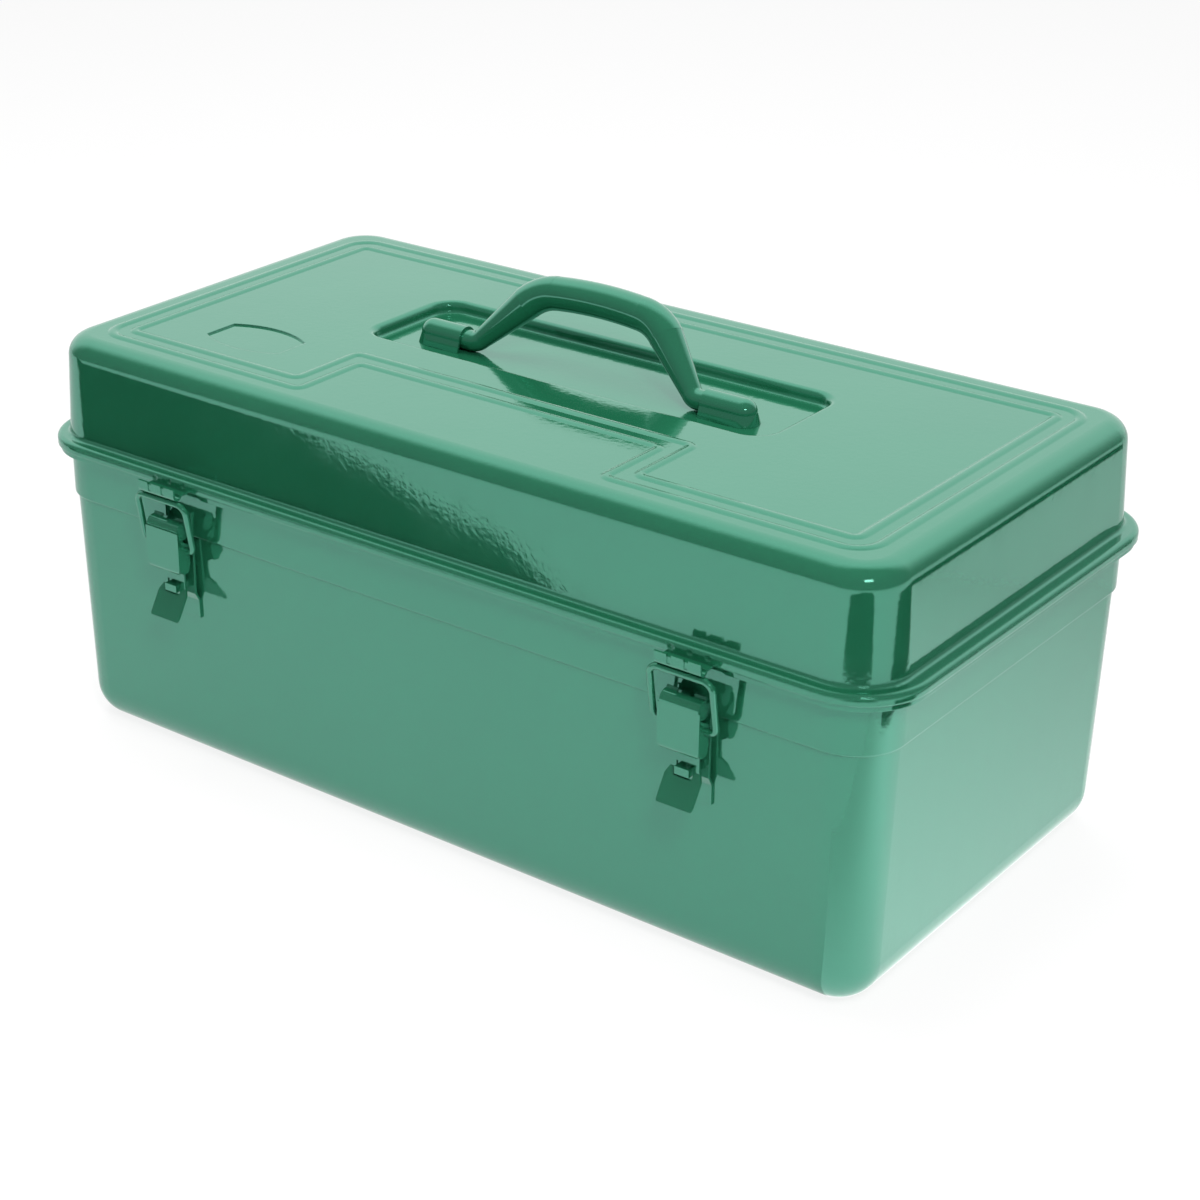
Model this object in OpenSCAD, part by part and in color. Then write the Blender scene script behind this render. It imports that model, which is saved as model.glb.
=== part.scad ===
// Steel toolbox: deep-drawn tub and lid, two wire-bail latches, folding handle,
// two rear hinges and a lift-out tray. All sizes in millimetres.
// Frame: +Z up, the latches face -Y, the origin is at the centre of the underside.

/* [Tub and lid] */
// Length over the lid's rim
overall_l = 460; // [430:1:500]
// Depth over the lid's rim
overall_d = 233; // [228:1:262]
// Height from the underside to the top of the tub's rim
tub_h = 146.4; // [140:0.1:170]
// Height of the lid above the underside of its flange
lid_h = 48.5; // [46:0.1:60]
// Thickness of the sheet steel
sheet = 1; // [0.8:0.1:1.2]
// Corner radius of the wall in plan, outside
wall_r = 23; // [22.5:0.5:28]
// Radius of the tub's bottom edge, outside
bottom_round = 18.5; // [14:0.5:18.5]
// How far the lower wall leans in between the step and the bottom
tub_draft = 2.3; // [1:0.1:2.8]
// How far the wall steps in below the upper band
step_in = 1.5; // [1.3:0.1:2]
// Distance from the rim's top down to the lower end of the step
step_drop = 28.4; // [26:0.1:34]

/* [Rims] */
// How far the lid's rim stands out from the front and rear wall
rim_out = 6; // [5.4:0.1:6.6]
// How far the lid's rim stands out from the end walls
end_out = 7.6; // [6.4:0.1:9]
// Corner radius of the lid's rim in plan, outside
rim_corner = 31; // [28:0.5:33]
// Gap between the lid's skirt and the tub's rim, sideways
rim_play = 0.3; // [0.2:0.05:0.5]
// Gap between the two flanges, in height
rim_gap = 0.4; // [0.3:0.05:0.6]
// Height of the tub's turned-down edge below the rim's top
tub_skirt = 6; // [5:0.1:7]
// How far the lid's skirt reaches below the flange
lid_skirt = 3.7; // [3.2:0.1:5]
// Outer edge radius of the tub's rim
tub_edge_r = 2; // [1.5:0.1:2.2]
// Outer edge radius of the lid's rim
lid_edge_r = 2.5; // [2:0.1:2.8]
// Radius where the lid's wall meets its flange
lid_fillet = 2; // [1.5:0.1:2.5]
// Radius under the tub's rim
tub_fillet = 1.5; // [1:0.1:2]

/* [Lid top] */
// How far the lid's wall leans in
lid_draft = 1.7; // [0.5:0.05:2]
// Radius of the lid's top edge
lid_round = 10; // [7:0.5:11]
// Height of the pressed ribs
rib_h = 0.8; // [0.5:0.1:1.2]
// Width of the pressed ribs
rib_w = 5; // [4:0.1:5.5]
// Distance from the lid's wall to the inner rib
rib_inset = 28.9; // [27:0.1:31]
// Distance between the two ribs
rib_pitch = 9.6; // [8.5:0.1:10]
// Corner radius of the inner rib
rib_corner_in = 4; // [3.6:0.1:6]
// Corner radius of the outer rib
rib_corner_out = 12; // [8:0.5:14]
// Half width of the bare front panel, to the inner rib
panel_half = 91.3; // [80:0.1:100]
// Depth of the front panel, from the front wall to the inner rib
panel_depth = 69.4; // [60:0.1:70]
// Half length of the handle pocket
pocket_half_l = 111.4; // [105:0.1:115]
// Half depth of the handle pocket
pocket_half_d = 32.8; // [28:0.1:33]
// How far the pocket's middle lies behind the lid's middle
pocket_back = 13.8; // [12:0.1:18]
// Corner radius of the pocket, at the top
pocket_r = 14; // [10:0.5:16]
// Depth of the pocket
pocket_depth = 5.5; // [5:0.1:6.5]
// Radius of the pocket's top edge
pocket_edge = 3; // [2:0.1:3.2]
// Radius at the foot of the pocket's wall
pocket_foot = 1.8; // [1:0.1:1.8]
// Length of the bare badge recess
badge_l = 44; // [30:1:50]
// Width of the bare badge recess, at its middle
badge_w = 30; // [24:1:32]
// How much narrower the badge recess is at its ends
badge_bow = 12; // [8:1:14]
// Depth of the bare badge recess
badge_depth = 0.7; // [0.4:0.1:0.9]

/* [Handle] */
// Diameter of the handle's ends
end_d = 9.4; // [8.6:0.1:10]
// Diameter of the grip
grip_d = 15.5; // [14:0.5:16]
// Distance from the pivot axis to the axis of the grip's highest point
grip_h = 31; // [29.5:0.1:32]
// Where the handle's ends start to rise, from the middle
foot_x = 59.5; // [56:0.1:62]
// Slope of the legs
leg_slope = 46.5; // [44:0.5:49]
// Slope of the arched grip where it meets the shoulders
crown_slope = 6; // [4:0.5:8]
// Bend radius at the feet
foot_bend = 6; // [5.5:0.5:9]
// Bend radius at the shoulders
shoulder_bend = 24; // [18:0.5:25]
// Lean back from upright, as it stands in the photo
lean = 24; // [0:0.5:60]
// Gap from the end of the foot's bend to the saddle's mouth
mouth_gap = 3.9; // [0:0.1:5]
// Length of a saddle
saddle_l = 26.4; // [25:0.1:32]
// Thickness of a saddle's sheet
saddle_t = 1.1; // [0.9:0.1:1.3]
// Running fit of the handle in the saddles, radial
handle_fit = 0.1; // [0.05:0.01:0.15]
// Distance from the pivot axis back to the pocket's middle
handle_fore = 8.4; // [6:0.1:10]

/* [Latches] */
// Distance from the middle of the two latches to each latch
latch_x = 140.8; // [125:0.1:155]
// How far the two latches sit to the right of the middle
latch_shift = 1.4; // [0:0.1:5]
// Height of the lever's pin below the rim's top
pin_drop = 22.2; // [21:0.1:25]
// Distance of the pin from the wall
pin_off = 8; // [7.6:0.1:9]
// Width of the lever
lever_w = 20; // [18:0.5:22]
// Thickness of the lever's sheet
lever_t = 1; // [0.8:0.1:1.2]
// Outside radius of the lever's rolled top
roll_r = 4.2; // [4:0.1:4.6]
// Wire diameter of the bail
wire_d = 2.9; // [2.5:0.1:3.2]
// Half width of the bail, to the wire's middle
bail_half = 14.8; // [13.8:0.1:16]
// Running fit of the latch's wire and pin, radial
latch_fit = 0.1; // [0.05:0.01:0.15]
// Gap between the bail's bar and the hook above it
hook_gap = 0.4; // [0.3:0.05:0.8]
// How far the hook stands out from the lid's rim
strike_reach = 4; // [3:0.1:5]
// Height of the hook's lip above the lower edge of the lid's rim
lip_h = 3.4; // [2.6:0.1:4]
// Width of the hook
strike_w = 22; // [18:0.5:24]

/* [Hinges] */
// Distance from the middle to each hinge
hinge_x = 130; // [110:1:150]
// Distance of the hinge axis from the rear wall
hinge_off = 10; // [9.6:0.1:12]
// Height of the hinge axis below the rim's top
hinge_drop = 7.5; // [7:0.1:8.5]
// Hinge pin diameter
hinge_pin_d = 3; // [2.5:0.1:3.2]
// Outside radius of the knuckles
knuckle_r = 2.9; // [2.7:0.1:3.1]
// Length of the hinge
hinge_l = 44; // [40:1:60]
// Thickness of the hinge leaves
leaf_t = 1.2; // [1:0.1:1.4]
// Gap between knuckles
knuckle_gap = 0.3; // [0.2:0.05:0.5]
// Gap between a hinge leaf and the wall that it is riveted to
leaf_gap = 0.03; // [0.02:0.01:0.05]
// Running fit of the hinge pin, radial
hinge_fit = 0.06; // [0.03:0.01:0.1]
// Rivet shank diameter
rivet_d = 4; // [3.2:0.1:4.2]

/* [Tray] */
// Thickness of the tray's sheet
tray_t = 0.8; // [0.6:0.1:1]
// Depth of the tray
tray_h = 38; // [30:1:50]
// Gap between the tray's flange and the wall
tray_play = 0.6; // [0.5:0.05:0.65]
// Gap under the tray's flange
tray_seat = 0.3; // [0.2:0.05:0.4]
// Width of the tray's flange
tray_flange = 5.4; // [5:0.1:8]
// Height of the divider's hand grip above the tray's rim
divider_rise = 25; // [22:1:25]
// Half length of the divider's hand grip, along its top
divider_top = 64; // [58:1:80]
// Half length of the hand slot, without its round ends
slot_half = 38; // [34:1:44]
// Radius of the hand slot's ends
slot_r = 11; // [9:0.5:12]

/* [Show] */
// Which piece to draw

/* [Hidden] */
$fn = 96;

hx = overall_l / 2 - end_out;
hy = overall_d / 2 - rim_out;
rx = overall_l / 2 - rim_corner;
ry = overall_d / 2 - rim_corner;
cx = hx - wall_r;
cy = hy - wall_r;
step_z0 = tub_h - step_drop;
step_z1 = step_z0 + step_in;
step_m = step_in / 2;
low_r1 = wall_r - step_in;
low_r0 = low_r1 - tub_draft;
foot_r = low_r0 - bottom_round;
lid_rim_r = rim_corner;
tub_rim_r = lid_rim_r - sheet - rim_play;
lid_z0 = tub_h + rim_gap;
lid_fz = lid_z0 + sheet;
lid_top = lid_z0 + lid_h;
lid_wall_z = lid_fz + lid_fillet;
lid_top_r = wall_r - lid_draft;
floor_z = lid_top - pocket_depth;

pcx = pocket_half_l - pocket_r;
pcy = pocket_half_d - pocket_r;
pocket_y = pocket_back;
handle_y = pocket_y - handle_fore;
end_r = end_d / 2;
bore_r = end_r + handle_fit;
dome_r = bore_r + saddle_t;
axis_z = floor_z + end_r + 0.3;
leg_a = leg_slope;
foot_t = foot_bend * tan(leg_a / 2);
saddle_x = foot_x + foot_t + mouth_gap;
saddle_end = saddle_x + saddle_l;
skirt_half = dome_r + 1.5;
saddle_in = saddle_end - skirt_half;
tab_x = saddle_x + 12.5;
tab_w = 8;
tab_t = saddle_t - 0.3;
end_reach = saddle_in - 0.3;

// The crown's radius and the leg's length close the run from the middle to the foot
run_x = foot_x - foot_t * cos(leg_a) - shoulder_bend * (sin(leg_a) - sin(crown_slope));
run_z = grip_h - foot_t * sin(leg_a) - shoulder_bend * (cos(crown_slope) - cos(leg_a));
run_det = sin(crown_slope) * sin(leg_a) - (1 - cos(crown_slope)) * cos(leg_a);
crown_r = (run_x * sin(leg_a) - run_z * cos(leg_a)) / run_det;
leg_l = (run_z * sin(crown_slope) - run_x * (1 - cos(crown_slope))) / run_det;
shoulder_u = (crown_r - shoulder_bend) * sin(crown_slope);
shoulder_z = grip_h - crown_r + (crown_r - shoulder_bend) * cos(crown_slope);

// The handle's pieces lap into its bends, a hair thinner than they are
lap = 0.3;
skim = 0.02;
crown_skim = 0.05;
leg_taper = (grip_d / 2 - end_r) / leg_l;

pin_z = tub_h - pin_drop;
pin_r = 1.5;
roll_in = roll_r - lever_t;
head_r = roll_in - latch_fit;
lever_u = pin_off + roll_r;
lever_bot = pin_z - 20.9;
lever_bend = 3;
neck_u = 5;
neck_z = lever_bot - 9;
tab_z = neck_z - 13.8;
tab_u = neck_u + 8.2;
neck_half = 6.5;
tab_half = 8.6;
wire_r = wire_d / 2;
ear_u = pin_off - 0.5;
ear_z = pin_z - 9.2;
hook_in = wire_r + 0.1;
hook_out = hook_in + sheet;
hook_u = rim_out + strike_reach + hook_in;
hook_z = lid_z0 - lid_skirt;
bar_z = hook_z - hook_out - hook_gap - wire_r;
bail_l = norm([hook_u - ear_u, bar_z - ear_z]);
bail_tilt = atan2(hook_u - ear_u, bar_z - ear_z);
base_half = 8;
base_t = 1.2;
base_foot = pin_z - 46.5;
lug_half = 3.5;

hinge_z = tub_h - hinge_drop;
hinge_r = hinge_pin_d / 2;
leaf_half = hinge_l / 2;
mid_half = hinge_l * 0.16;
arm_z = tub_h - 14;
strap_u = hinge_off - knuckle_r;
strap_z = lid_wall_z + 0.2;
lid_leaf_top = strap_z + 20;
lid_leaf_half = 18;
base_leaf_low = step_z0 - 19.5;
rivet_r = rivet_d / 2;
base_rivet_z = base_leaf_low + 7.5;
lid_rivet_z = strap_z + 11.5;
rivet_dx = 12;
tub_lean = atan2(tub_draft, step_z0 - bottom_round);
lid_lean = atan2(lid_draft, lid_top - lid_round - lid_wall_z);

tray_z = step_z0 + step_m + sheet / 2 + tray_seat;
tray_edge = wall_r - sheet - tray_play;
tray_r = tray_edge - tray_flange;
tray_b = tray_z + tray_t - tray_h;
tray_round = 4;

// How far the lower wall stands out from the band's face at height z
function low_u(z) = -step_in - tub_draft * (step_z0 - z) / (step_z0 - bottom_round);
// The same for the lid's wall
function lid_u(z) = -lid_draft * (z - lid_wall_z) / (lid_top - lid_round - lid_wall_z);

// A quarter of a ring; q counts quarters from +x, anticlockwise
module quarter(ri, ro, q) {
    intersection() {
        difference() {
            circle(ro);
            circle(ri);
        }
        rotate(90 * q) square(ro + 1);
    }
}

// A profile carried round a rounded rectangle whose corner centres are at ax, ay
module around(ax, ay) {
    for (s = [0, 180]) {
        rotate([0, 0, s]) translate([ax, 0, 0]) rotate([90, 0, 0])
            linear_extrude(2 * ay, center = true) children();
        rotate([0, 0, s + 90]) translate([ay, 0, 0]) rotate([90, 0, 0])
            linear_extrude(2 * ax, center = true) children();
        rotate([0, 0, s]) translate([ax, ay, 0]) rotate_extrude(angle = 90) children();
        rotate([0, 0, s]) translate([-ax, ay, 0]) rotate([0, 0, 90])
            rotate_extrude(angle = 90) children();
    }
}

// A rounded rectangle in plan
module round_rect(ax, ay, r) {
    square([2 * ax, 2 * (ay + r)], center = true);
    square([2 * (ax + r), 2 * ay], center = true);
    for (sx = [-1, 1])
        for (sy = [-1, 1])
            translate([sx * ax, sy * ay]) circle(r);
}

// The flat of a flange, from the wall's corner radius ri out to the rim's ro
module flange(z, ro, ri) {
    translate([0, 0, z]) linear_extrude(sheet) difference() {
        round_rect(rx, ry, ro);
        round_rect(cx, cy, ri);
    }
}

// Side view pieces: x is the distance out from the wall, y is the height
module front_side(w, at = 0) {
    translate([at, -hy, 0]) rotate([90, 0, -90]) linear_extrude(w, center = true) children();
}
module rear_side(w, at = 0) {
    translate([at, hy, 0]) rotate([90, 0, 90]) linear_extrude(w, center = true) children();
}

// Tub

module tub_wall_profile() {
    square([foot_r, sheet]);
    translate([foot_r, bottom_round]) quarter(bottom_round - sheet, bottom_round, 3);
    polygon([[low_r0, bottom_round], [low_r1, step_z0],
        [low_r1 - sheet, step_z0], [low_r0 - sheet, bottom_round]]);
    translate([low_r1 - sheet / 2 + step_m, step_z0])
        quarter(step_m - sheet / 2, step_m + sheet / 2, 1);
    translate([wall_r - sheet / 2 - step_m, step_z1])
        quarter(step_m - sheet / 2, step_m + sheet / 2, 3);
    translate([wall_r - sheet, step_z1])
        square([sheet, tub_h - sheet - tub_fillet - step_z1]);
    translate([wall_r + tub_fillet, tub_h - sheet - tub_fillet])
        quarter(tub_fillet, tub_fillet + sheet, 1);
}

module tub_rim_profile() {
    translate([tub_rim_r - tub_edge_r, tub_h - tub_edge_r])
        quarter(tub_edge_r - sheet, tub_edge_r, 0);
    translate([tub_rim_r - sheet, tub_h - tub_skirt])
        square([sheet, tub_skirt - tub_edge_r]);
}

module base_shell() {
    color("#5d9f86") difference() {
        union() {
            around(cx, cy) tub_wall_profile();
            around(rx, ry) tub_rim_profile();
            translate([-cx, -cy, 0]) cube([2 * cx, 2 * cy, sheet]);
            flange(tub_h - sheet, tub_rim_r - tub_edge_r, wall_r + tub_fillet);
        }
        for (s = [-1, 1])
            at_base_rivets(s * hinge_x) rivet_hole();
    }
}

// Lid

module lid_rim_profile() {
    translate([lid_rim_r - sheet, lid_z0 - lid_skirt])
        square([sheet, lid_fz - lid_edge_r - lid_z0 + lid_skirt]);
    translate([lid_rim_r - lid_edge_r, lid_fz - lid_edge_r])
        quarter(lid_edge_r - sheet, lid_edge_r, 0);
}

module lid_wall_profile() {
    translate([wall_r + lid_fillet, lid_wall_z])
        quarter(lid_fillet, lid_fillet + sheet, 2);
    polygon([[wall_r, lid_wall_z], [lid_top_r, lid_top - lid_round],
        [lid_top_r - sheet, lid_top - lid_round], [wall_r - sheet, lid_wall_z]]);
    translate([lid_top_r - lid_round, lid_top - lid_round])
        quarter(lid_round - sheet, lid_round, 0);
    translate([0, lid_top - sheet]) square([lid_top_r - lid_round, sheet]);
}

module pocket_profile() {
    translate([pocket_r, lid_top - pocket_edge])
        quarter(pocket_edge - sheet, pocket_edge, 1);
    translate([pocket_r - pocket_edge, floor_z + pocket_foot])
        square([sheet, pocket_depth - pocket_edge - pocket_foot]);
    translate([pocket_r - pocket_edge - pocket_foot, floor_z + pocket_foot])
        quarter(pocket_foot, pocket_foot + sheet, 3);
    translate([0, floor_z - sheet])
        square([pocket_r - pocket_edge - pocket_foot, sheet]);
}

// Cross-section of a rib: the top of a circle, sunk a little into the sheet
rib_r = (rib_w * rib_w / 4 + rib_h * rib_h) / (2 * rib_h);
module rib_section() {
    intersection() {
        translate([0, rib_h - rib_r]) circle(rib_r);
        translate([-rib_w, -0.4]) square([2 * rib_w, rib_h + 1]);
    }
}

// A rib along a closed run of right-angled corners, each given as [x, y, radius]
module rib_run(p) {
    n = len(p);
    for (i = [0 : n - 1]) {
        a = p[i];
        b = p[(i + 1) % n];
        c = p[(i + 2) % n];
        ang = atan2(b[1] - a[1], b[0] - a[0]);
        len_ab = norm([b[0] - a[0], b[1] - a[1]]);
        turn = (b[0] - a[0]) * (c[1] - b[1]) - (b[1] - a[1]) * (c[0] - b[0]);
        out = ang + (turn > 0 ? 90 : -90);
        translate([a[0] + a[2] * cos(ang), a[1] + a[2] * sin(ang), lid_top])
            rotate([0, 0, ang]) rotate([90, 0, 90])
                linear_extrude(len_ab - a[2] - b[2]) rib_section();
        translate([b[0] + b[2] * (cos(out) - cos(ang)), b[1] + b[2] * (sin(out) - sin(ang)), lid_top])
            rotate([0, 0, turn > 0 ? ang - 90 : ang])
                rotate_extrude(angle = 90) translate([b[2], 0]) rib_section();
    }
}

module rib_loop(off, r) {
    x = hx - rib_inset + off;
    y = hy - rib_inset + off;
    j = panel_half - off;
    k = panel_depth - hy - off;
    rc = rib_corner_in;
    rib_run([[-x, y, r], [-x, -y, r], [-j, -y, rc], [-j, k, rc],
        [j, k, rc], [j, -y, rc], [x, -y, r], [x, y, r]]);
}

module ribs() {
    rib_loop(0, rib_corner_in);
    rib_loop(rib_pitch, rib_corner_out);
}

// A barrel in plan: two bowed sides and two short straight ends
module badge(grow, z0, h) {
    sag = badge_bow / 2;
    r = (badge_l * badge_l / 4 + sag * sag) / (2 * sag);
    translate([-hx + 80.7, -hy + 56.4, z0]) linear_extrude(h) intersection() {
        square([badge_l + 2 * grow, badge_w + 2 * grow + 2], center = true);
        translate([0, r - badge_w / 2]) circle(r + grow);
        translate([0, badge_w / 2 - r]) circle(r + grow);
    }
}

module lid_shell() {
    color("#63a98f") difference() {
        union() {
            around(cx, cy) lid_wall_profile();
            around(rx, ry) lid_rim_profile();
            flange(lid_z0, lid_rim_r - lid_edge_r, wall_r + lid_fillet);
            difference() {
                translate([-cx, -cy, lid_top - sheet]) cube([2 * cx, 2 * cy, sheet]);
                translate([0, pocket_y, lid_top - sheet - 1])
                    linear_extrude(sheet + 2) round_rect(pcx, pcy, pocket_r);
            }
            translate([0, pocket_y, 0]) {
                around(pcx, pcy) pocket_profile();
                translate([-pcx, -pcy, floor_z - sheet]) cube([2 * pcx, 2 * pcy, sheet]);
            }
            ribs();
            badge(1, lid_top - sheet - badge_depth, sheet);
        }
        translate([0, 0, -sheet]) ribs();
        badge(0, lid_top - badge_depth, badge_depth + 1);
        for (s = [-1, 1])
            for (d = [-1, 1]) {
                translate([s * tab_x - tab_w / 2 - 0.2,
                        handle_y + d * (skirt_half - saddle_t / 2) - tab_t / 2 - 0.2, floor_z - sheet - 1])
                    cube([tab_w + 0.4, tab_t + 0.4, sheet + 2]);
            }
        for (s = [-1, 1])
            at_lid_rivets(s * hinge_x) rivet_hole();
        for (s = [-1, 1])
            for (d = [-1, 0, 1])
                translate([latch_shift + s * latch_x + d * 8.65, -hy - rim_out - 1.6, lid_fz - 2.2])
                    sphere(2.2);
    }
}

// Handle, along X, pivoting about its two ends

module handle_side() {
    translate([foot_x + foot_t - lap, 0, 0]) rotate([0, 90, 0])
        cylinder(h = end_reach - foot_x - foot_t + lap, r = end_r - skim);
    translate([foot_x + foot_t, 0, foot_bend]) rotate([90, 0, 0]) rotate([0, 0, -90 - leg_a])
        rotate_extrude(angle = leg_a) translate([foot_bend, 0]) circle(end_r);
    translate([foot_x - foot_t * cos(leg_a), 0, foot_t * sin(leg_a)]) rotate([0, leg_a - 90, 0])
        translate([0, 0, -lap])
            cylinder(h = leg_l + 2 * lap, r1 = end_r - skim - leg_taper * lap, r2 = grip_d / 2 - skim);
    translate([shoulder_u, 0, shoulder_z]) rotate([90, 0, 0]) rotate([0, 0, 90 - leg_a])
        rotate_extrude(angle = leg_a - crown_slope)
            translate([shoulder_bend, 0]) circle(grip_d / 2);
}

module handle() {
    color("#3f8a6c") translate([0, handle_y, axis_z]) rotate([-lean, 0, 0]) {
        handle_side();
        mirror([1, 0, 0]) handle_side();
        reach = crown_slope + lap / crown_r * 180 / PI;
        translate([0, 0, grip_h - crown_r]) rotate([90, 0, 0]) rotate([0, 0, 90 - reach])
            rotate_extrude(angle = 2 * reach) translate([crown_r, 0]) circle(grip_d / 2 - crown_skim);
    }
}

// Saddle: a pressed dome, open towards the middle of the lid

// Half of its section: x is the distance sideways, y the height above the pocket's floor
module saddle_half(r, half, foot) {
    h = axis_z - floor_z;
    intersection() {
        translate([0, h]) circle(r);
        square([r + 1, 40]);
    }
    polygon([[0, foot], [half, foot], [r, h], [0, h]]);
}

module saddle_body(r, half, foot, x0) {
    translate([x0, 0, floor_z]) rotate([90, 0, 90]) linear_extrude(saddle_in - x0) {
        saddle_half(r, half, foot);
        mirror([1, 0]) saddle_half(r, half, foot);
    }
    translate([saddle_in, 0, floor_z]) rotate([0, 0, -90]) rotate_extrude(angle = 180)
        saddle_half(r, half, foot);
}

module saddle(s) {
    color("#4a9477") mirror([s < 0 ? 1 : 0, 0, 0]) translate([0, handle_y, 0]) {
        difference() {
            saddle_body(dome_r, skirt_half, 0, saddle_x);
            saddle_body(bore_r, skirt_half - saddle_t, -0.5, saddle_x - 1);
        }
        for (d = [-1, 1])
            mirror([0, d < 0 ? 1 : 0, 0]) {
                translate([tab_x - tab_w / 2, skirt_half - saddle_t + 0.15, floor_z - sheet - saddle_t])
                    cube([tab_w, tab_t, sheet + saddle_t + 0.3]);
                translate([tab_x - tab_w / 2, skirt_half - saddle_t + 0.15, floor_z - sheet - saddle_t])
                    cube([tab_w, saddle_t + 4, saddle_t]);
            }
    }
}

module handle_saddle_left() {
    saddle(-1);
}
module handle_saddle_right() {
    saddle(1);
}

// Latch

module latch_base(at) {
    color("#559a80") {
        difference() {
            union() {
                front_side(2 * base_half, at) polygon([[0, pin_z + 6.5], [base_t, pin_z + 6.5],
                    [base_t, base_foot + 13], [low_u(base_foot + 9) + base_t, base_foot + 9],
                    [low_u(base_foot) + base_t, base_foot], [low_u(base_foot), base_foot],
                    [low_u(base_foot + 9), base_foot + 9], [0, base_foot + 13]]);
                front_side(2 * lug_half, at) {
                    polygon([[base_t / 2, pin_z - 16.5], [base_t / 2, pin_z - 11.5],
                        [pin_off - 2.2, pin_z - 1], [pin_off - 0.2, pin_z - 2.4]]);
                    translate([pin_off, pin_z]) circle(pin_r + 1.3);
                }
                front_side(6.8, at) translate([base_t / 2, base_foot + 14.8])
                    square([8.1, 3.5]);
            }
            front_side(40, at) translate([pin_off, pin_z]) circle(pin_r);
            front_side(4, at) translate([base_t + 0.7, base_foot + 14])
                square([5.4, 5]);
        }
    }
}

module latch_pin(at) {
    color("#7fb09c") {
        front_side(2 * lug_half + 4, at) translate([pin_off, pin_z]) circle(pin_r);
        for (s = [-1, 1])
            front_side(lever_w / 2 - lug_half - 2.2, at + s * (lever_w / 4 + lug_half / 2 + 0.4))
                translate([pin_off, pin_z]) circle(head_r);
    }
}

// Front outline of the lever, in x and height
module lever_outline() {
    h = lever_w / 2;
    c = 3.5;
    translate([-h, lever_bot + c]) square([2 * h, pin_z + 8 - lever_bot - c]);
    translate([c - h, lever_bot]) square([2 * (h - c), c]);
    for (s = [-1, 1])
        translate([s * (h - c), lever_bot + c]) circle(c);
    polygon([[-neck_half, lever_bot + 1], [neck_half, lever_bot + 1], [neck_half, neck_z + 1],
        [tab_half, neck_z - 3], [tab_half, tab_z + 3], [-tab_half, tab_z + 3],
        [-tab_half, neck_z - 3], [-neck_half, neck_z + 1]]);
    translate([3 - tab_half, tab_z - 1]) square([2 * tab_half - 6, 5]);
    for (s = [-1, 1])
        translate([s * (tab_half - 3), tab_z + 2]) circle(3);
}

module latch_lever(at) {
    color("#4f977a") difference() {
        union() {
            intersection() {
                front_side(lever_w, at) {
                    translate([lever_u - lever_t, lever_bot + lever_bend])
                        square([lever_t, pin_z - lever_bot - lever_bend]);
                    translate([lever_u - lever_bend, lever_bot + lever_bend])
                        quarter(lever_bend - lever_t, lever_bend, 3);
                    translate([neck_u + 1.5, lever_bot])
                        square([lever_u - lever_bend - neck_u - 1.5, lever_t]);
                    translate([neck_u + lever_t + 0.5, lever_bot - 0.5])
                        quarter(0.5, lever_t + 0.5, 1);
                    translate([neck_u, neck_z])
                        square([lever_t, lever_bot - 0.5 - neck_z]);
                    polygon([[neck_u, neck_z], [neck_u + 1.1 * lever_t, neck_z],
                        [tab_u + 0.9 * lever_t, tab_z + 0.42 * lever_t], [tab_u, tab_z]]);
                }
                translate([at, -hy, 0]) rotate([90, 0, 0]) linear_extrude(40) lever_outline();
            }
            front_side(lever_w - 1.4, at) difference() {
                union() {
                    translate([pin_off, pin_z]) circle(roll_r);
                    translate([pin_off, pin_z]) rotate(108)
                        translate([roll_in, -lever_t / 2]) square([2.2, lever_t]);
                    translate([pin_off, pin_z]) rotate(150)
                        translate([roll_in, -lever_t / 2]) square([2.0, lever_t]);
                }
                translate([pin_off, pin_z]) circle(roll_in);
                translate([pin_off, pin_z]) polygon([[0, 0], 9 * [cos(112), sin(112)],
                    9 * [cos(146), sin(146)]]);
            }
            for (s = [-1, 1])
                front_side(lever_t, at + s * (lever_w - lever_t) / 2)
                    polygon([[lever_u - lever_t / 2, pin_z - 3], [neck_u + 0.4, pin_z - 7],
                        [neck_u, lever_bot + 5], [neck_u + 1.5, lever_bot + 0.5],
                        [lever_u - lever_bend, lever_bot + 0.2], [lever_u - 0.7, lever_bot + 2.4]]);
        }
        front_side(2 * lug_half + 1, at) translate([pin_off - 12, pin_z - 9])
            square([12, 20]);
        front_side(8.4, at) translate([neck_u - 2, base_foot + 13.6])
            square([5, 6]);
        front_side(lever_w + 2, at) translate([ear_u, ear_z]) circle(wire_r + latch_fit);
    }
}

module bail_side() {
    foot = 3;
    top = 4.5;
    inner = lever_w / 2 - lever_t - 1.2;
    translate([inner, 0, 0]) rotate([0, 90, 0])
        cylinder(h = bail_half - foot - inner, r = wire_r);
    translate([bail_half - foot, 0, foot]) rotate([90, 0, 0]) rotate([0, 0, -90])
        rotate_extrude(angle = 90) translate([foot, 0]) circle(wire_r);
    translate([bail_half, 0, foot]) cylinder(h = bail_l - foot - top, r = wire_r);
    translate([bail_half - top, 0, bail_l - top]) rotate([90, 0, 0])
        rotate_extrude(angle = 90) translate([top, 0]) circle(wire_r);
    translate([0, 0, bail_l]) rotate([0, 90, 0]) cylinder(h = bail_half - top, r = wire_r);
}

module latch_bail(at) {
    color("#5fa58b") translate([at, -hy - ear_u, ear_z]) rotate([bail_tilt, 0, 0]) {
        bail_side();
        mirror([1, 0, 0]) bail_side();
    }
}

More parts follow.
